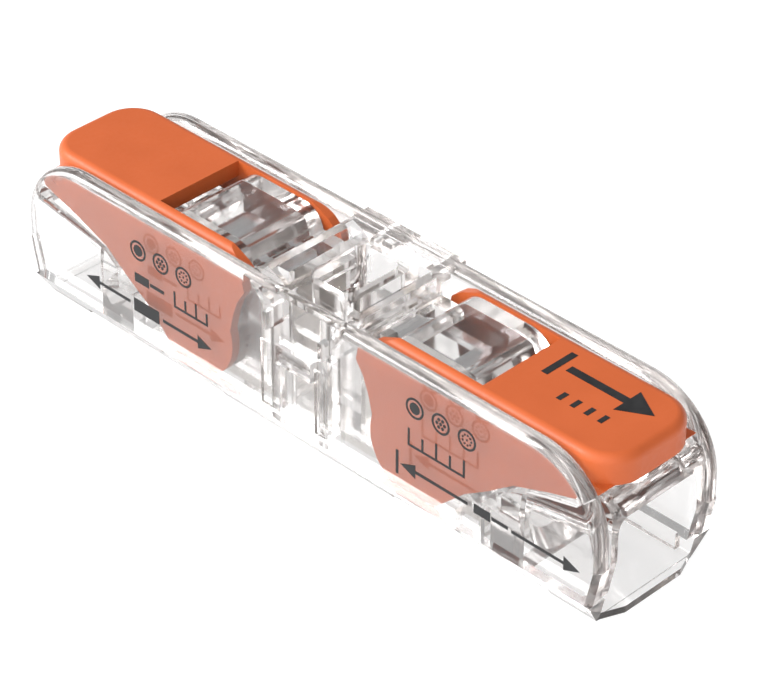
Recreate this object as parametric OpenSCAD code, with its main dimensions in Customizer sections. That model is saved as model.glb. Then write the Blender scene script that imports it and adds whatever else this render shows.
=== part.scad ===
// Inline lever wire connector for two conductors, one entered from each end.
// Two orange levers work two spring clamps on one shared current bar, all
// inside a clear snap-together case. Closed position. Millimetres.
// Origin: centre of the footprint on the resting face. X runs along the
// case, Y across it, Z up. The right half is built and mirrored in X.

/* [Case] */
// Length over both wire entries
body_len = 35.5; // [35:0.1:36]
// Width over the side walls
body_w = 7.6; // [7.5:0.05:7.7]
// Height to the top of the side rails
body_h = 8.05; // [8.0:0.05:8.2]
// Thickness of the side walls and of their round rails
wall = 0.95; // [0.9:0.05:1.0]
// Height of the seam between the housing and the base cover
seam_z = 1.3; // [1.2:0.05:1.4]
// Radius of the rail's bend at each end, at its middle line
rail_bend_r = 3.3; // [3.0:0.1:3.6]
// Height of the collar around the test opening
collar_z = 7.95; // [7.8:0.05:8.0]
// Half length of the collar along the case
collar_x = 3.0; // [2.8:0.05:3.0]

/* [Lever] */
// Distance of each lever's hinge axis from the middle
pivot_x = 6.8; // [6.7:0.05:6.9]
// Height of the hinge axis
pivot_z = 3.4; // [3.3:0.05:3.5]
// Radius of the round foot of each lever cheek
foot_r = 2.5; // [2.4:0.02:2.52]
// Height of the lever's top face when closed
lever_z = 8.0; // [7.9:0.05:8.0]
// Half width of the lever
lever_hw = 2.8; // [2.78:0.01:2.82]
// Thickness of each lever cheek
cheek_t = 0.44; // [0.36:0.01:0.45]
// Thickness of the lever's grip plate
plate_t = 0.8; // [0.7:0.05:0.85]
// Distance of the grip's tip from the middle
tip_x = 17.45; // [17.3:0.05:17.5]
// Distance of the lever window's front edge from the middle
window_x = 9.9; // [9.8:0.05:10.2]
// Radius of the hinge pins inside the cheeks
pin_r = 0.6; // [0.5:0.05:0.65]

/* [Wire entry] */
// Radius of the round conductor guide
guide_r = 1.5; // [1.4:0.05:1.55]
// Height of the conductor guide's axis
guide_z = 2.9; // [2.9:0.05:2.95]
// Width of the insulation chamber and of its mouth
mouth_w = 4.9; // [4.6:0.1:5.0]
// Height of the mouth's upper edge
mouth_z = 5.2; // [5.0:0.05:5.25]

/* [Clamp] */
// Thickness of the spring strip
strip_t = 0.3; // [0.25:0.01:0.3]
// Half width of the spring strip
strip_hw = 1.15; // [1.0:0.05:1.2]
// Middle radius of the spring's bend
bend_r = 0.5; // [0.45:0.01:0.5]
// Angle of the closed clamping leg from the vertical
leg_tilt = 15; // [13:1:15]
// Thickness of the current bar
bar_t = 0.5; // [0.4:0.05:0.5]
// Half width of the current bar
bar_hw = 1.5; // [1.3:0.05:1.55]

/* [Hidden] */
$fn = 64;
e = 0.02;                            // overlap that joins solids of one piece
gap = 0.02;                          // seam left between fixed pieces
side_y = body_w / 2;                 // outer face of the side wall
inner_y = side_y - wall;             // inner face of the side wall
end_x = body_len / 2;                // outermost point of the case
rail_r = wall / 2;                   // radius of the round rail
rail_y = side_y - rail_r;            // middle line of the rail
rail_z = body_h - rail_r;
rail_end = end_x - rail_r;
bend_x0 = rail_end - rail_bend_r;    // centre of the rail's bend
bend_z0 = rail_z - rail_bend_r;
slant_z = 3.2;                       // the end slants inwards below this
slant_deg = 12;
slant = tan(slant_deg);              // slope of that slant, x per z
base_end_x = end_x - slant * slant_z;  // end of the base at the resting face
part_y0 = 1.7;                       // inner face of the inner partition
part_y1 = 2.3;                       // outer face of the inner partition
slot_y = part_y1 + e;                // inner limit of the cheek slots
floor_z = 0.4;                       // top of the base cover's floor
sill_z = floor_z + 0.05;             // lower edge of the housing inside the base
block_x = 10.9;                      // inner end of the wire guide block
face_x = end_x - 0.15;               // end face of the wire guide block
brow_r = 0.75;                       // rounding of the crossbar over the mouth
guide_x = 12.5;                      // outer end of the conductor guide
chamber_x = 13.2;                    // inner end of the insulation chamber
chamber_tilt = 9;                    // fall of the chamber's ceiling, in degrees
stop_z = 6.15;                       // crossbar top, which the closed lever meets
clear_r = 0.05;                      // running clearance of the hinge pins
foot_gap = 0.05;                     // clearance under the round feet
cheek_y = lever_hw - cheek_t;        // inner face of the lever cheeks
grip_corner_r = 1.75;                // plan radius of the grip's corners
grip_edge_r = 0.42;                  // rounding of the grip's upper edge
skirt_z = 6.6;                       // lower edge of the skirt around the tip
lug_r = 0.27;                        // cam lug on each cheek
lug_arm = 1.35;                      // its distance from the hinge axis
lug_deg = -2;                        // its direction when closed
lever_travel = 76;                   // opening angle of the lever
bar_z0 = 0.9;                        // underside of the current bar
bar_x = 10.3;                        // end of the current bar
bar_top = bar_z0 + bar_t;
bend_x = 7.8;                        // centre of the spring's bend
bend_z = 5.85;
leg_len = 4.38;                      // length of the clamping leg
post_x0 = collar_x + 0.05;           // upright that anchors the spring
post_x1 = post_x0 + 0.35;
slot_hw = 0.65;                      // half width of the slot in the spring's upper leg
spring_z = bend_z + bend_r;          // middle of the spring's upper leg
roof_z = spring_z + strip_t / 2 + 0.1;  // underside of the roof over the spring
hump_z = 7.9;                        // top of the window block
well_x = 1.25;                       // half length of the test opening
well_y = 1.65;                       // half width of the test opening
latch_hw = 1.0;                      // half width of the snap arms
latch_z = 4.35;                      // lower face of the snap nose

// ---- helpers ----

// Extrudes a side-view outline (x, z) between two y values.
module side_view(y0, y1) {
    translate([0, y1, 0]) rotate([90, 0, 0]) linear_extrude(y1 - y0) children();
}

// Extrudes an end-view outline (y, z) between two x values.
module end_view(x0, x1) {
    translate([x0, 0, 0]) rotate([90, 0, 90]) linear_extrude(x1 - x0) children();
}

// A side-view outline on both sides of the case, y0 being nearer the middle.
module both_walls(y0, y1) {
    side_view(y0, y1) children();
    side_view(-y1, -y0) children();
}

module both_ends() {
    children();
    mirror([1, 0, 0]) children();
}

module rect(x0, z0, x1, z1) {
    translate([x0, z0]) square([x1 - x0, z1 - z0]);
}

module block(x0, x1, hw, z0, z1) {
    translate([x0, -hw, z0]) cube([x1 - x0, 2 * hw, z1 - z0]);
}

// Cylinder along Y about a point of the side view.
module y_rod(x, z, r, y0, y1) {
    translate([x, y0, z]) rotate([-90, 0, 0]) cylinder(r = r, h = y1 - y0);
}

module both_rods(x, z, r, y0, y1) {
    y_rod(x, z, r, y0, y1);
    y_rod(x, z, r, -y1, -y0);
}

// Sector of the side view seen from a point, between two angles.
module sector(x, z, r, from_deg, to_deg) {
    mid = (from_deg + to_deg) / 2;
    polygon([[x, z], [x + r * cos(from_deg), z + r * sin(from_deg)],
             [x + r * cos(mid), z + r * sin(mid)],
             [x + r * cos(to_deg), z + r * sin(to_deg)]]);
}

// ---- housing ----

// Cross-section of the side wall with its half-round edge, from 0 out to len.
module rail_section(len) {
    translate([0, -rail_r]) square([len, wall]);
    translate([len, 0]) circle(rail_r);
}

// Right half of one side wall: a plate whose top and end carry the round rail.
module side_wall() {
    translate([0, rail_y, seam_z]) rotate([0, -90, 180])
        linear_extrude(bend_x0) rail_section(rail_z - seam_z);
    translate([bend_x0, rail_y, bend_z0]) rotate([90, 0, 0])
        rotate_extrude(angle = 90) rail_section(rail_bend_r);
    translate([bend_x0, rail_y, slant_z])
        linear_extrude(bend_z0 - slant_z) rail_section(rail_bend_r);
    slanted_end();
}

// Lower end of the wall, slanted inwards, with both upright edges chamfered.
module slanted_end() {
    chamfer = 0.25;
    difference() {
        side_view(inner_y, side_y)
            polygon([[bend_x0 - 1, seam_z], [end_x - slant * (slant_z - seam_z), seam_z],
                     [end_x, slant_z], [bend_x0 - 1, slant_z]]);
        for (y = [inner_y, side_y])
            translate([end_x, y, slant_z]) rotate([0, slant_deg, 0]) rotate([0, 0, 45])
                cube([chamfer * sqrt(2), chamfer * sqrt(2), 8], center = true);
    }
}

// Side outline of the wire guide block, kept below the closed lever's cheek.
module guide_block_outline() {
    polygon([[block_x, seam_z], [face_x - slant * (slant_z - seam_z), seam_z], [face_x, slant_z],
             [face_x, stop_z - brow_r], [face_x - brow_r, stop_z], [16.5, stop_z], [16.4, 5.7],
             [14.5, 5.2], [12.6, 4.5], [11.3, 3.45], [block_x, 3.2]]);
    translate([face_x - brow_r, stop_z - brow_r]) circle(brow_r);
}

// Side outline of the clear window block under the lever's window.
module hump_outline() {
    rear_r = 1.2;
    front_r = 1.5;
    rect(4.3 + rear_r, sill_z, 9.7 - front_r, hump_z);
    translate([4.3 + rear_r, hump_z - rear_r]) circle(rear_r);
    translate([9.7 - front_r, hump_z - front_r]) circle(front_r);
    rect(4.3, sill_z, 9.7, hump_z - front_r);
}

// Side outline of the hollow that holds one clamp and its conductor.
module clamp_hollow_outline() {
    rect(collar_x, 0, block_x + 0.1, 4.7);
    rect(collar_x, 4.6, 5, roof_z);
    rect(4.9, 4.6, 8.9, hump_z - 0.45);
}

// Right half of everything between the side walls, before it is hollowed.
module inner_half() {
    side_view(-inner_y - e, inner_y + e) guide_block_outline();
    block(block_x, 16.6, inner_y - 0.1, sill_z, seam_z + e);
    side_view(-part_y1, part_y1)
        polygon([[9, sill_z], [block_x + e, sill_z], [block_x + e, 4], [16.5, 4],
                 [16.5, 5.9], [12, 6.1], [9, 6.1]]);
    side_view(-part_y1, part_y1) hump_outline();
    block(2, 4.4, part_y1, sill_z, roof_z + 0.3);
}

// Cavities of the right half: clamp hollow, conductor guide, chamber, hinge bores.
module cuts_half() {
    side_view(-part_y0, part_y0) clamp_hollow_outline();
    flare = chamber_x + e - guide_x;
    translate([block_x - 0.5, 0, guide_z]) rotate([0, 90, 0])
        cylinder(r = guide_r, h = guide_x + e - block_x + 0.5);
    translate([guide_x, 0, guide_z]) rotate([0, 90, 0])
        cylinder(r1 = guide_r, r2 = guide_r + flare, h = flare);
    chamber();
    both_rods(pivot_x, pivot_z, pin_r + clear_r, part_y0 - 0.1, part_y1 + 0.1);
    both_walls(part_y0 - 0.1, part_y1 + 0.1) lug_slot_outline();
    cheek_slot();
}

// Insulation chamber, open at the end of the case, its ceiling sloping inwards.
module chamber() {
    r = 0.6;
    hw = mouth_w / 2;
    depth = face_x - chamber_x;
    intersection() {
        translate([face_x, 0, mouth_z]) rotate([0, -chamber_tilt, 0]) end_view(-2 * depth, 2) {
            translate([-hw, -7]) square([mouth_w, 7 - r]);
            translate([-hw + r, -7]) square([mouth_w - 2 * r, 7]);
            for (s = [-1, 1]) translate([s * (hw - r), -r]) circle(r);
        }
        block(chamber_x, end_x + 1, hw, 0, body_h);
    }
}

// Arc slot that the lever's cam lug sweeps.
module lug_slot_outline() {
    play = 0.1;
    intersection() {
        difference() {
            translate([pivot_x, pivot_z]) circle(lug_arm + lug_r + play);
            translate([pivot_x, pivot_z]) circle(lug_arm - lug_r - play);
        }
        sector(pivot_x, pivot_z, 4, lug_deg - 17, lug_deg + lever_travel + 17);
    }
}

// Room behind the hinge that the lever's rear corners sweep on opening.
module cheek_slot() {
    both_walls(slot_y, inner_y) {
        difference() {
            translate([pivot_x, pivot_z]) circle(5);
            rect(pivot_x + 2.6, -2, 12, 3);
        }
        intersection() {
            translate([pivot_x, pivot_z]) circle(5.6);
            rect(2, 5.6, pivot_x, 9);
        }
    }
}

// Frame between the levers: an outer rim and an open pocket on each side.
module collar() {
    difference() {
        block(-collar_x, collar_x, inner_y + e, 5.6, collar_z);
        both_ends() block(well_x + 0.55, collar_x - 0.5, part_y1 - 0.1, 6.6, body_h);
    }
    difference() {
        block(-well_x - 0.5, well_x + 0.5, inner_y + e, seam_z + 0.1, 5.7);
        both_walls(slot_y, inner_y) rect(-latch_hw - 0.2, 0, latch_hw + 0.2, 5.5);
        block(-9, 9, part_y0, 0, bar_top + 0.15);
    }
    both_walls(inner_y - e, side_y) rect(-collar_x, 6.9, collar_x, body_h - 0.04);
}

// Openings in each side wall that show and hold the base cover's snap arms.
module latch_windows() {
    both_walls(inner_y - 0.1, side_y + 0.1) rect(-latch_hw - 0.1, latch_z - 0.05, latch_hw + 0.1, 5.3);
    for (s = [-1, 1]) both_walls(inner_y - 0.1, side_y + 0.1)
        rect(s * 1.7 - 0.12, 5.8, s * 1.7 + 0.12, 6.7);
    both_walls(side_y - 0.15, side_y + 0.1) {
        rect(-2.0, 1.8, -1.35, 5.2);
        rect(1.35, 1.8, 2.0, 5.2);
    }
}

// Test opening over the middle of the current bar, with round upright corners.
module test_well() {
    r = 0.45;
    translate([0, 0, bar_top]) linear_extrude(body_h) {
        square([2 * (well_x - r), 2 * well_y], center = true);
        square([2 * well_x, 2 * (well_y - r)], center = true);
        for (sx = [-1, 1], sy = [-1, 1])
            translate([sx * (well_x - r), sy * (well_y - r)]) circle(r);
    }
}

module housing_shell() {
    color("lightcyan") {
        difference() {
            union() {
                both_ends() {
                    side_wall();
                    mirror([0, 1, 0]) side_wall();
                    inner_half();
                }
                collar();
            }
            both_ends() cuts_half();
            test_well();
            block(-collar_x - e, collar_x + e, part_y0, 0, bar_top + 0.15);
            latch_windows();
        }
    }
}

// ---- base cover ----

// End view of the base: sides spread from the resting face up to the seam.
module base_section() {
    foot_y = side_y - 0.85;
    top_y = side_y - 0.03;
    polygon([[-foot_y, 0], [foot_y, 0], [top_y, seam_z - gap], [-top_y, seam_z - gap]]);
}

// Seats that carry the lever's round feet.
module foot_seats() {
    both_walls(part_y1 + 0.1, inner_y - 0.04) difference() {
        rect(5.76, floor_z - e, 9.4, 1.8);
        translate([pivot_x, pivot_z]) circle(foot_r + foot_gap);
    }
}

// Snap arms at mid length, whose noses fill the windows in the side walls.
module snap_arms() {
    both_walls(slot_y + 0.1, inner_y - 0.1) rect(-latch_hw, floor_z - e, latch_hw, 5.15);
    for (s = [-1, 1]) scale([1, s, 1]) end_view(-latch_hw, latch_hw)
        polygon([[inner_y - 0.15, latch_z], [side_y - 0.12, latch_z],
                 [side_y - 0.12, latch_z + 0.3], [inner_y - 0.15, 5.15]]);
}

// Grooves and steps along the lower edge of one side, right half.
module base_relief() {
    both_walls(side_y - 0.4, side_y + 0.1) rect(8.8, 0.85, 11.7, 1.05);
    both_walls(side_y - 0.98, side_y) rect(5.3, -0.1, 14.5, 0.3);
}

module base_cover() {
    color("azure") {
        difference() {
            union() {
                intersection() {
                    end_view(-end_x, end_x) base_section();
                    side_view(-side_y, side_y)
                        polygon([[-base_end_x, 0], [base_end_x, 0],
                                 [base_end_x + slant * seam_z, seam_z],
                                 [-base_end_x - slant * seam_z, seam_z]]);
                }
                both_ends() translate([0, 0, 0.06]) linear_extrude(floor_z - 0.06)
                    polygon([[16, 2.95], [base_end_x, 2.95], [17.57, 1.73],
                             [17.57, -1.73], [base_end_x, -2.95], [16, -2.95]]);
            }
            block(-end_x, end_x, inner_y - 0.05, floor_z, seam_z);
            both_ends() base_relief();
        }
        both_ends() {
            foot_seats();
            for (x = [4.4, 8.4, 10.1])
                block(x - 0.25, x + 0.25, bar_hw, floor_z - e, bar_z0 - gap);
        }
        snap_arms();
    }
}

// ---- levers ----

// Half cross-section of the grip: flat below, rounded on the outer upper edge.
module grip_section(len) {
    h = lever_z - skirt_z;
    square([len - grip_edge_r, h]);
    square([len, h - grip_edge_r]);
    translate([len - grip_edge_r, h - grip_edge_r]) circle(grip_edge_r);
}

// Grip slab from the window to the tip, with round corners and upper edges.
module grip_slab(x0) {
    corner_x = tip_x - grip_corner_r;
    corner_y = lever_hw - grip_corner_r;
    translate([x0, 0, skirt_z]) rotate([90, 0, 90])
        linear_extrude(corner_x - x0) {
            grip_section(lever_hw);
            mirror([1, 0]) grip_section(lever_hw);
        }
    for (s = [-1, 1])
        translate([corner_x, s * corner_y, skirt_z])
            rotate([0, 0, s > 0 ? 0 : -90]) rotate_extrude(angle = 90) grip_section(grip_corner_r);
    translate([corner_x, corner_y, skirt_z]) rotate([90, 0, 0])
        linear_extrude(2 * corner_y) grip_section(grip_corner_r);
}

// Side outline of a cheek: round foot, rear horn and the long lower edge.
module cheek_outline() {
    translate([pivot_x, pivot_z]) circle(foot_r);
    polygon([[4.45, 4.0], [4.2, 5.1], [3.9, 5.9], [3.45, 6.6], [3.55, 7.1], [4.1, 7.55],
             [5.1, lever_z], [tip_x - 0.4, lever_z], [tip_x - 0.4, skirt_z],
             [16.7, stop_z + 0.05], [14.5, 5.5], [12.6, 4.8], [11.2, 3.75], [9.9, 2.9],
             [8.6, 1.68], [pivot_x, pivot_z]]);
}

// Right lever, closed.
module lever() {
    hook_x = lug_arm * cos(lug_deg);
    hook_z = lug_arm * sin(lug_deg);
    difference() {
        intersection() {
            union() {
                both_walls(cheek_y, lever_hw + e) cheek_outline();
                block(window_x, tip_x + 1, lever_hw + e, skirt_z, lever_z + 1);
            }
            lever_envelope();
        }
        // hollow under the grip plate, inside its skirt
        block(window_x - 1, tip_x - 0.7, cheek_y, 0, lever_z - plate_t);
    }
    both_rods(pivot_x, pivot_z, pin_r, part_y0 + 0.05, cheek_y + e);
    both_rods(pivot_x + hook_x, pivot_z + hook_z, lug_r, part_y0 - 0.35, cheek_y + e);
}

// Outer limits of the lever: its plan outline with the grip's rounded upper edges.
module lever_envelope() {
    block(3, tip_x - 0.4, lever_hw, 0, skirt_z + e);
    grip_slab(3);
}

module lever_right() {
    color("orangered") lever();
}

module lever_left() {
    color("orangered") mirror([1, 0, 0]) lever();
}

// ---- current bar and clamps ----

// Upright at each end of the bar's middle, notched for the spring's tongue.
module post() {
    difference() {
        block(post_x0, post_x1, bar_hw, bar_top - e, roof_z - 0.03);
        block(post_x0 - 1, post_x1 + 1, 0.9, spring_z - strip_t / 2 - gap, roof_z + 1);
    }
}

module current_bar() {
    color("goldenrod") {
        block(-bar_x, bar_x, bar_hw, bar_z0, bar_top);
        both_ends() {
            post();
            for (x = [7.9, 8.7]) y_rod(x, bar_top, 0.1, -bar_hw, bar_hw);
        }
    }
}

// Fixed part of the right spring: anchored upper leg and the round bend.
module clamp_spring() {
    z0 = spring_z - strip_t / 2;
    difference() {
        block(post_x1 + 0.05, bend_x + e, strip_hw, z0, z0 + strip_t);
        block(4.3, 7.2, slot_hw, z0 - 1, z0 + 1);
    }
    block(post_x0, post_x1 + 0.1, 0.85, z0, z0 + strip_t);
    side_view(-strip_hw, strip_hw) difference() {
        translate([bend_x, bend_z]) circle(bend_r + strip_t / 2);
        translate([bend_x, bend_z]) circle(bend_r - strip_t / 2);
        sector(bend_x, bend_z, 3, 90, 210);
        sector(bend_x, bend_z, 3, 205, 348 - leg_tilt + 15);
    }
}

// Moving part of the right spring: clamping leg with an ear on each side.
module clamp_leg() {
    x0 = bend_r - strip_t / 2;
    translate([bend_x, 0, bend_z]) rotate([0, leg_tilt, 0]) {
        translate([x0, -strip_hw, -leg_len]) cube([strip_t, 2 * strip_hw, leg_len]);
        translate([x0, -part_y0 + 0.12, -2.8]) cube([strip_t, 2 * (part_y0 - 0.12), 2.1]);
    }
}

module clamp_spring_right() {
    color("silver") clamp_spring();
}

module clamp_spring_left() {
    color("silver") mirror([1, 0, 0]) clamp_spring();
}

module clamp_leg_right() {
    color("lightsteelblue") clamp_leg();
}

module clamp_leg_left() {
    color("lightsteelblue") mirror([1, 0, 0]) clamp_leg();
}

housing_shell();
base_cover();
lever_left();
lever_right();
current_bar();
clamp_spring_left();
clamp_spring_right();
clamp_leg_left();
clamp_leg_right();
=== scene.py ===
import math

import bmesh
import bpy
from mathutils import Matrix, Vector


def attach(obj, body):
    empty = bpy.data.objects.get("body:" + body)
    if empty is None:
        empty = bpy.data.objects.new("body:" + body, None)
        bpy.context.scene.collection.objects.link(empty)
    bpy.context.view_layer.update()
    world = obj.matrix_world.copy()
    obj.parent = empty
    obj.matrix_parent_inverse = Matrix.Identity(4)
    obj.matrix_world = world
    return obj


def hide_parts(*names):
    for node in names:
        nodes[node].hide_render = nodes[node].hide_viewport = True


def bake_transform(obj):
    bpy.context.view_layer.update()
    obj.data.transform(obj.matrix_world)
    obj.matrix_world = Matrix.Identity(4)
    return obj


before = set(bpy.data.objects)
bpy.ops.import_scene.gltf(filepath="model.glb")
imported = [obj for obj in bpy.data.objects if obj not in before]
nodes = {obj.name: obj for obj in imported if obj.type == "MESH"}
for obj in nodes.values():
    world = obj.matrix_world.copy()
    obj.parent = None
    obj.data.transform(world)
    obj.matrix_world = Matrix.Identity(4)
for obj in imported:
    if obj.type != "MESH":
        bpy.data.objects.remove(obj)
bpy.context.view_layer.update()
scene = bpy.context.scene

# Shapes are given in millimetres, in the CAD's frame, and scaled to metres.
MM = 0.001

# ---- camera ----

VIEW_BACK = Vector((1, -1, 1)).normalized()      # from the object towards the camera
CAMERA_AT = Vector((0.08604, -0.08422, 0.08877))  # metres
CAMERA_LENS = 157.3      # mm


def make_camera():
    data = bpy.data.cameras.new("camera")
    data.sensor_width = 36
    data.lens = CAMERA_LENS
    data.clip_start = 0.002
    data.clip_end = 10
    cam = bpy.data.objects.new("camera", data)
    scene.collection.objects.link(cam)
    cam.location = CAMERA_AT
    cam.rotation_euler = (-VIEW_BACK).to_track_quat("-Z", "Y").to_euler()
    scene.camera = cam


# ---- materials ----

def new_material(name):
    mat = bpy.data.materials.new(name)
    mat.use_nodes = True
    tree = mat.node_tree
    return mat, tree, tree.nodes["Principled BSDF"]


def noise_node(tree, scale, detail, stretch=(1, 1, 1)):
    coords = tree.nodes.new("ShaderNodeTexCoord")
    mapping = tree.nodes.new("ShaderNodeMapping")
    mapping.inputs["Scale"].default_value = stretch
    noise = tree.nodes.new("ShaderNodeTexNoise")
    noise.inputs["Scale"].default_value = scale
    noise.inputs["Detail"].default_value = detail
    tree.links.new(coords.outputs["Object"], mapping.inputs["Vector"])
    tree.links.new(mapping.outputs["Vector"], noise.inputs["Vector"])
    return noise


def bump_from(tree, bsdf, noise, strength):
    bump = tree.nodes.new("ShaderNodeBump")
    bump.inputs["Strength"].default_value = strength
    bump.inputs["Distance"].default_value = 0.01 * MM
    tree.links.new(noise.outputs["Fac"], bump.inputs["Height"])
    tree.links.new(bump.outputs["Normal"], bsdf.inputs["Normal"])


def grey(value):
    return (value, value, value)


def colour_ramp(tree, stops):
    """Ramp with one colour at each position: stops is a list of (position, colour)."""
    ramp = tree.nodes.new("ShaderNodeValToRGB")
    elements = ramp.color_ramp.elements
    while len(elements) < len(stops):
        elements.new(0.5)
    for element, (position, colour) in zip(elements, stops):
        element.position = position
        element.color = (*colour, 1)
    return ramp


NOISE_LOW = 0.3          # the colours are spread over the noise from here
NOISE_HIGH = 0.7         # to here


def spread_noise(tree, noise, socket, low, high):
    """Spreads a noise over two colours and feeds it to a socket."""
    ramp = colour_ramp(tree, [(NOISE_LOW, low), (NOISE_HIGH, high)])
    tree.links.new(noise.outputs["Fac"], ramp.inputs["Fac"])
    tree.links.new(ramp.outputs["Color"], socket)


def clear_plastic(name, density):
    """Clear plastic whose body darkens long light paths, by density per metre."""
    mat, tree, bsdf = new_material(name)
    flow = noise_node(tree, 420, 2.0, (0.35, 1, 1))
    bump_from(tree, bsdf, flow, 0.02)
    spread_noise(tree, flow, bsdf.inputs["Roughness"], grey(0.05), grey(0.085))
    bsdf.inputs["Base Color"].default_value = (0.99, 0.988, 0.986, 1)
    bsdf.inputs["IOR"].default_value = 1.58
    bsdf.inputs["Transmission Weight"].default_value = 1
    body = tree.nodes.new("ShaderNodeVolumeAbsorption")
    body.inputs["Color"].default_value = (0.30, 0.22, 0.18, 1)
    body.inputs["Density"].default_value = density
    tree.links.new(body.outputs["Volume"], tree.nodes["Material Output"].inputs["Volume"])
    return mat


def orange_plastic():
    mat, tree, bsdf = new_material("orange_nylon")
    grain = noise_node(tree, 5200, 4.0)
    bump_from(tree, bsdf, grain, 0.06)
    tone = noise_node(tree, 420, 2.0)
    spread_noise(tree, tone, bsdf.inputs["Base Color"], (0.505, 0.100, 0.024), (0.545, 0.111, 0.029))
    spread_noise(tree, grain, bsdf.inputs["Roughness"], grey(0.36), grey(0.48))
    bsdf.inputs["Specular IOR Level"].default_value = 0.35
    return mat


def metal(name, colour, smooth, rough, stretch=(1, 1, 1)):
    """Brushed metal whose roughness runs from smooth to rough."""
    mat, tree, bsdf = new_material(name)
    brushed = noise_node(tree, 2600, 4.0, stretch)
    bump_from(tree, bsdf, brushed, 0.15)
    spread_noise(tree, brushed, bsdf.inputs["Roughness"], grey(smooth), grey(rough))
    darker = [c * 0.9 for c in colour]
    spread_noise(tree, brushed, bsdf.inputs["Base Color"], darker, colour)
    bsdf.inputs["Metallic"].default_value = 1
    return mat


def print_ink():
    mat, tree, bsdf = new_material("print_ink")
    worn = noise_node(tree, 1800, 4.0)
    spread_noise(tree, worn, bsdf.inputs["Base Color"], (0.012, 0.012, 0.013), (0.024, 0.024, 0.025))
    spread_noise(tree, worn, bsdf.inputs["Roughness"], grey(0.5), grey(0.65))
    bsdf.inputs["Specular IOR Level"].default_value = 0.3
    return mat


# ---- objects ----

FLAT_DEG = 1             # faces that meet at a smaller angle than this are joined
SHARP_DEG = 32           # edges sharper than this are rounded


def dress(node, mat, bevel, segments=2):
    """Gives a CAD node its material and edges rounded by bevel, in mm."""
    obj = nodes[node]
    obj.data.materials.clear()
    obj.data.materials.append(mat)
    flat = obj.modifiers.new("flat", "DECIMATE")
    flat.decimate_type = "DISSOLVE"
    flat.angle_limit = math.radians(FLAT_DEG)
    round_edges = obj.modifiers.new("round_edges", "BEVEL")
    round_edges.width = bevel * MM
    round_edges.segments = segments
    round_edges.limit_method = "ANGLE"
    round_edges.angle_limit = math.radians(SHARP_DEG)
    round_edges.use_clamp_overlap = True
    shading = obj.modifiers.new("shading", "WEIGHTED_NORMAL")
    shading.weight = 60


def add_object(name, bm, mat):
    mesh = bpy.data.meshes.new(name)
    bmesh.ops.recalc_face_normals(bm, faces=bm.faces)
    bm.to_mesh(mesh)
    bm.free()
    mesh.materials.append(mat)
    obj = bpy.data.objects.new(name, mesh)
    scene.collection.objects.link(obj)
    return obj


# ---- clamp springs ----

BEND_X = 7.8             # centre of the bend, in the side view
BEND_Z = 5.85
BEND_R = 0.5             # its middle radius
BEND_STEPS = 14
STRIP_T = 0.3            # thickness of the strip
STRIP_HW = 1.13          # half width of the strip, of its tongue and across its ears
TONGUE_HW = 0.83
EAR_HW = 1.58
STRIP_X0 = 3.06          # free end of the tongue
TONGUE_X1 = 3.5          # inner end of the tongue
LEG_TILT = 15            # angle of the clamping leg from the vertical
LEG_LEN = 4.36           # length of the clamping leg
EARS_FROM = 0.8          # stretch of the leg that carries the ears, from the bend
EARS_TO = 2.7
LEG_STEPS = 12           # steps along the upper leg and along the clamping leg
SLOT_STEPS = range(3, 9)  # steps of the upper leg that its slot runs over
CUTS = (-1, -0.575, 0.575, 1)  # strip edges and slot edges, as parts of the half width
STRIP_EDGE_R = 0.05      # rounding of the strip's edges


def strip_path():
    """Middle line of the right spring strip: (x, z, normal x, normal z, half width)."""
    path = []
    for i in range(LEG_STEPS + 1):
        x = STRIP_X0 + (BEND_X - STRIP_X0) * i / LEG_STEPS
        path.append((x, BEND_Z + BEND_R, 0, 1, TONGUE_HW if x < TONGUE_X1 else STRIP_HW))
    for i in range(1, BEND_STEPS + 1):
        a = math.radians(90 - (90 + LEG_TILT) * i / BEND_STEPS)
        nx, nz = math.cos(a), math.sin(a)
        path.append((BEND_X + BEND_R * nx, BEND_Z + BEND_R * nz, nx, nz, STRIP_HW))
    x0, z0, nx, nz, _ = path[-1]
    for i in range(1, LEG_STEPS + 1):
        along = LEG_LEN * i / LEG_STEPS
        half_width = EAR_HW if EARS_FROM < along < EARS_TO else STRIP_HW
        path.append((x0 + along * nz, z0 - along * nx, nx, nz, half_width))
    return path


def strip_rings(bm, sign):
    """Cross-sections along the strip: an outer and an inner row of four points each."""
    rings = []
    for x, z, nx, nz, half_width in strip_path():
        rows = []
        for side in (STRIP_T / 2, -STRIP_T / 2):
            px = (x + nx * side) * sign * MM
            pz = (z + nz * side) * MM
            rows.append([bm.verts.new((px, cut * half_width * MM, pz)) for cut in CUTS])
        rings.append(rows)
    return rings


def spring_strip(name, sign, mat):
    """One bent strip with a slot in its upper leg, its edges rounded."""
    bm = bmesh.new()
    rings = strip_rings(bm, sign)
    for i, (a, b) in enumerate(zip(rings, rings[1:])):
        slotted = i in SLOT_STEPS
        for j in range(3):
            if not (slotted and j == 1):
                for s in (0, 1):
                    bm.faces.new((a[s][j], b[s][j], b[s][j + 1], a[s][j + 1]))
        for j in (0, 1, 2, 3) if slotted else (0, 3):
            bm.faces.new((a[0][j], b[0][j], b[1][j], a[1][j]))
    for r in (rings[0], rings[-1]):
        for j in range(3):
            bm.faces.new((r[0][j], r[0][j + 1], r[1][j + 1], r[1][j]))
    for k in (SLOT_STEPS[0], SLOT_STEPS[-1] + 1):
        r = rings[k]
        bm.faces.new((r[0][1], r[0][2], r[1][2], r[1][1]))
    sharp = [e for e in bm.edges if len(e.link_faces) == 2 and e.calc_face_angle(0) > 1.0]
    bmesh.ops.bevel(bm, geom=sharp, offset=STRIP_EDGE_R * MM, segments=2, affect="EDGES", profile=0.5)
    return add_object(name, bm, mat)


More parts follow.
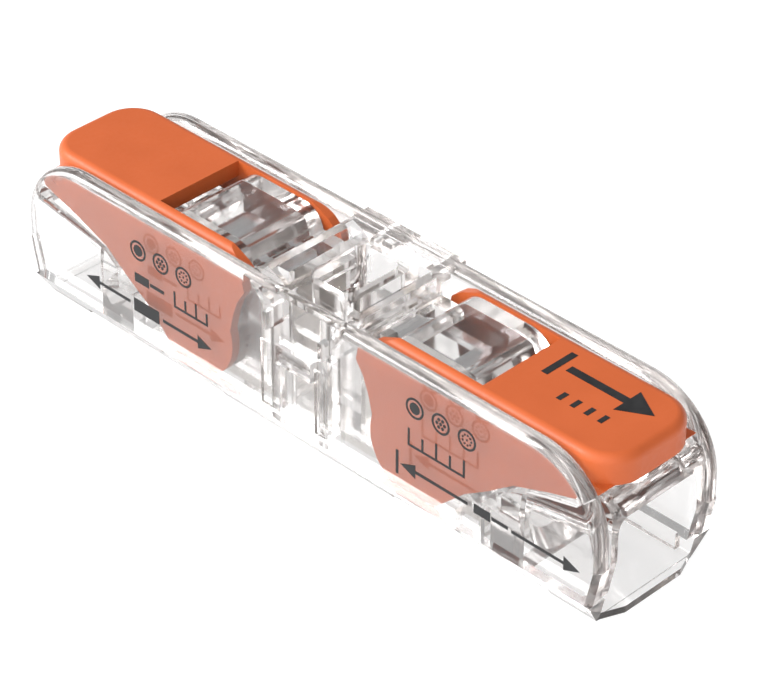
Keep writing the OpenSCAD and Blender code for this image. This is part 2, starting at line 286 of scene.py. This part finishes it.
def make_springs(steel):
    """Builds each strip in one still shape, bent between its fixed upper leg and its clamping leg, which
    moves on the real clamp; hides the CAD spring and leg.
    """
    for side, sign in (("right", 1), ("left", -1)):
        obj = spring_strip(f"clamp_spring_strip_{side}", sign, steel)
        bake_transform(obj)
        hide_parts(f"clamp_spring_{side}", f"clamp_leg_{side}")


# ---- printed marks, generic ----

WALL_Y = -3.8            # outer face of the near side wall
GRIP_Z = 8.0             # top face of the closed lever
INK_LOW = 0.002          # underside of the print over its face
INK_HIGH = 0.014         # top of the print over its face
RING_R = 0.52            # ring round each conductor's pictogram, and its width
RING_WIDTH = 0.11
CORE_R = 0.29            # solid conductor
# Number of outer strands, radius of a strand and radius of the circle they lie on.
KINDS = {"solid": None, "stranded": (6, 0.085, 0.22), "fine": (9, 0.055, 0.25)}


def on_wall(u, v, h):
    return (u * MM, (WALL_Y - h) * MM, v * MM)


def on_grip(u, v, h):
    return (u * MM, v * MM, (GRIP_Z + h) * MM)


def circle(u, v, r, n):
    return [(u + r * math.cos(2 * math.pi * i / n), v + r * math.sin(2 * math.pi * i / n)) for i in range(n)]


def bar(u0, v0, u1, v1):
    return [(u0, v0), (u1, v0), (u1, v1), (u0, v1)]


def arrow(u0, u1, v, shaft=0.16, head=0.9, head_hw=0.36):
    """Arrow from u0 to its tip at u1, along u."""
    neck = u1 - math.copysign(head, u1 - u0)
    hw = shaft / 2
    return [(u0, v - hw), (neck, v - hw), (neck, v - head_hw), (u1, v),
            (neck, v + head_hw), (neck, v + hw), (u0, v + hw)]


def walls_between(bm, a, b):
    """Closed band of faces between two loops of points."""
    n = len(a)
    for i in range(n):
        j = (i + 1) % n
        bm.faces.new((a[i], a[j], b[j], b[i]))


def raise_loop(bm, outline, height, place):
    return [bm.verts.new(place(u, v, height)) for u, v in outline]


def prism(bm, outline, place):
    """Thin closed prism of ink on a flat outline."""
    low = raise_loop(bm, outline, INK_LOW, place)
    high = raise_loop(bm, outline, INK_HIGH, place)
    bm.faces.new(low)
    bm.faces.new(high)
    walls_between(bm, low, high)


def ring(bm, u, v, r, width, place):
    """Thin closed ring of ink."""
    points = 40
    loops = [raise_loop(bm, circle(u, v, radius, points), height, place)
             for radius, height in ((r - width, INK_LOW), (r - width, INK_HIGH), (r, INK_HIGH), (r, INK_LOW))]
    for a, b in zip(loops, loops[1:] + loops[:1]):
        walls_between(bm, a, b)


def conductor(bm, u, v, kind):
    """Pictogram of a conductor's cross-section."""
    ring(bm, u, v, RING_R, RING_WIDTH, on_wall)
    if kind == "solid":
        prism(bm, circle(u, v, CORE_R, 28), on_wall)
        return
    count, r, spread = KINDS[kind]
    for cu, cv in [(u, v)] + circle(u, v, spread, count):
        prism(bm, circle(cu, cv, r, 14), on_wall)


def wire(bm, u, v):
    """Pictogram of a stripped wire: insulation, then its bare end."""
    sleeve_len, sleeve_hw = 0.95, 0.24
    bare_from, bare_to, bare_hw = 1.02, 1.95, 0.09
    prism(bm, bar(u, v - sleeve_hw, u + sleeve_len, v + sleeve_hw), on_wall)
    prism(bm, bar(u + bare_from, v - bare_hw, u + bare_to, v + bare_hw), on_wall)


def tick_scale(bm, u, v, count, step, short, tall):
    """Base line with upright ticks, tall and short in turn."""
    line = 0.12
    prism(bm, bar(u, v - line, u + (count - 1) * step + line, v), on_wall)
    for k in range(count):
        tick_u = u + step * k
        prism(bm, bar(tick_u, v, tick_u + line, v + (short if k % 2 else tall)), on_wall)


def right_wall_marks():
    """Strip gauge with its wire, an arrow to the mouth, conductor kinds and a scale."""
    bm = bmesh.new()
    gauge_bar = bar(6.3, 2.35, 6.46, 3.6)
    inward = arrow(10.5, 6.56, 2.97)
    outward = arrow(13.0, 16.8, 2.9)
    for outline in (gauge_bar, inward, outward):
        prism(bm, outline, on_wall)
    wire(bm, 10.85, 2.95)
    for k, kind in enumerate(KINDS):
        conductor(bm, 7.4 + 1.5 * k, 6.25 - 0.02 * k, kind)
    tick_scale(bm, 7.0, 4.3, count=5, step=0.8, short=0.6, tall=0.8)
    return bm


def left_wall_marks():
    """Conductor kinds, a stripped wire, a scale and a block between two arrows."""
    bm = bmesh.new()
    for k, kind in enumerate(KINDS):
        conductor(bm, -9.9 + 1.5 * k, 6.0, kind)
    wire(bm, -10.2, 4.5)
    tick_scale(bm, -7.6, 4.2, count=4, step=0.7, short=0.55, tall=0.75)
    outward = arrow(-10.6, -13.6, 2.95)
    inward = arrow(-8.4, -5.2, 2.95)
    block = bar(-10.35, 2.6, -8.65, 3.3)
    for outline in (outward, inward, block):
        prism(bm, outline, on_wall)
    return bm


def lever_marks():
    """Plain arrow with a row of dashes."""
    bm = bmesh.new()
    tail = bar(10.9, 0.05, 11.25, 1.95)
    pointer = arrow(11.6, 16.3, 1.0, shaft=0.42, head=1.5, head_hw=0.85)
    for outline in (tail, pointer):
        prism(bm, outline, on_grip)
    for k in range(4):
        dash_u = 12.6 + 0.75 * k
        prism(bm, bar(dash_u, -0.9, dash_u + 0.25, -0.35), on_grip)
    return bm


def make_marks(ink):
    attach(add_object("print_right_wall", right_wall_marks(), ink), "case")
    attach(add_object("print_left_wall", left_wall_marks(), ink), "case")
    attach(add_object("print_right_lever", lever_marks(), ink), "lever_right")


# ---- the object ----

def make_object():
    orange = orange_plastic()
    tin = metal("tinned_copper", (0.70, 0.67, 0.64), smooth=0.25, rough=0.42)
    steel = metal("spring_steel", (0.86, 0.86, 0.87), smooth=0.12, rough=0.26, stretch=(1, 0.08, 1))
    dress("housing_shell", clear_plastic("clear_polycarbonate", density=44), bevel=0.07)
    dress("base_cover", clear_plastic("clear_polycarbonate_base", density=110), bevel=0.07)
    dress("lever_left", orange, bevel=0.09, segments=3)
    dress("lever_right", orange, bevel=0.09, segments=3)
    dress("current_bar", tin, bevel=0.05)
    make_springs(steel)
    make_marks(print_ink())


# ---- stage ----

FLOOR_HALF = 1.5         # metres


def make_floor():
    """Grey floor that glows, so that the clear case stands on white without a shadow."""
    mesh = bpy.data.meshes.new("floor")
    r = FLOOR_HALF
    mesh.from_pydata([(-r, -r, 0), (r, -r, 0), (r, r, 0), (-r, r, 0)], [], [(0, 1, 2, 3)])
    floor = bpy.data.objects.new("floor", mesh)
    floor.location.z = -0.02 * MM
    scene.collection.objects.link(floor)
    mat, _, bsdf = new_material("floor")
    bsdf.inputs["Base Color"].default_value = (*grey(0.35), 1)
    bsdf.inputs["Roughness"].default_value = 0.9
    bsdf.inputs["Emission Color"].default_value = (1, 1, 1, 1)
    bsdf.inputs["Emission Strength"].default_value = 0.8
    mesh.materials.append(mat)


def make_world():
    """Grey studio, bright in front (-Y) and dim behind, for dark edges in the clear case."""
    world = bpy.data.worlds.new("studio")
    scene.world = world
    world.use_nodes = True
    tree = world.node_tree
    background = tree.nodes["Background"]
    coords = tree.nodes.new("ShaderNodeTexCoord")
    split = tree.nodes.new("ShaderNodeSeparateXYZ")
    spread = tree.nodes.new("ShaderNodeMapRange")
    spread.inputs["From Min"].default_value = -1
    stops = ((0.0, 1.0), (0.25, 0.62), (0.5, 0.27), (0.75, 0.17), (1.0, 0.15))
    ramp = colour_ramp(tree, [(at, grey(value)) for at, value in stops])
    tree.links.new(coords.outputs["Generated"], split.inputs["Vector"])
    tree.links.new(split.outputs["Y"], spread.inputs["Value"])
    tree.links.new(spread.outputs["Result"], ramp.inputs["Fac"])
    tree.links.new(ramp.outputs["Color"], background.inputs["Color"])
    background.inputs["Strength"].default_value = 2.55


def make_softbox():
    """Soft light from the left front and above, aimed at the object."""
    at = Vector((-0.2, -0.2, 0.17))
    data = bpy.data.lights.new("softbox", "AREA")
    data.shape = "RECTANGLE"
    data.size = 0.2
    data.size_y = 0.12
    data.energy = 0.9
    light = bpy.data.objects.new("softbox", data)
    light.location = at
    light.rotation_euler = (-at).to_track_quat("-Z", "Y").to_euler()
    scene.collection.objects.link(light)


def set_light_paths():
    """Clear plastic needs many bounces: with few, its inner reflections turn black."""
    scene.cycles.max_bounces = 40
    scene.cycles.glossy_bounces = 32
    scene.cycles.transmission_bounces = 32


make_camera()
make_object()
make_floor()
make_world()
make_softbox()
set_light_paths()
scene.view_settings.view_transform = "Standard"
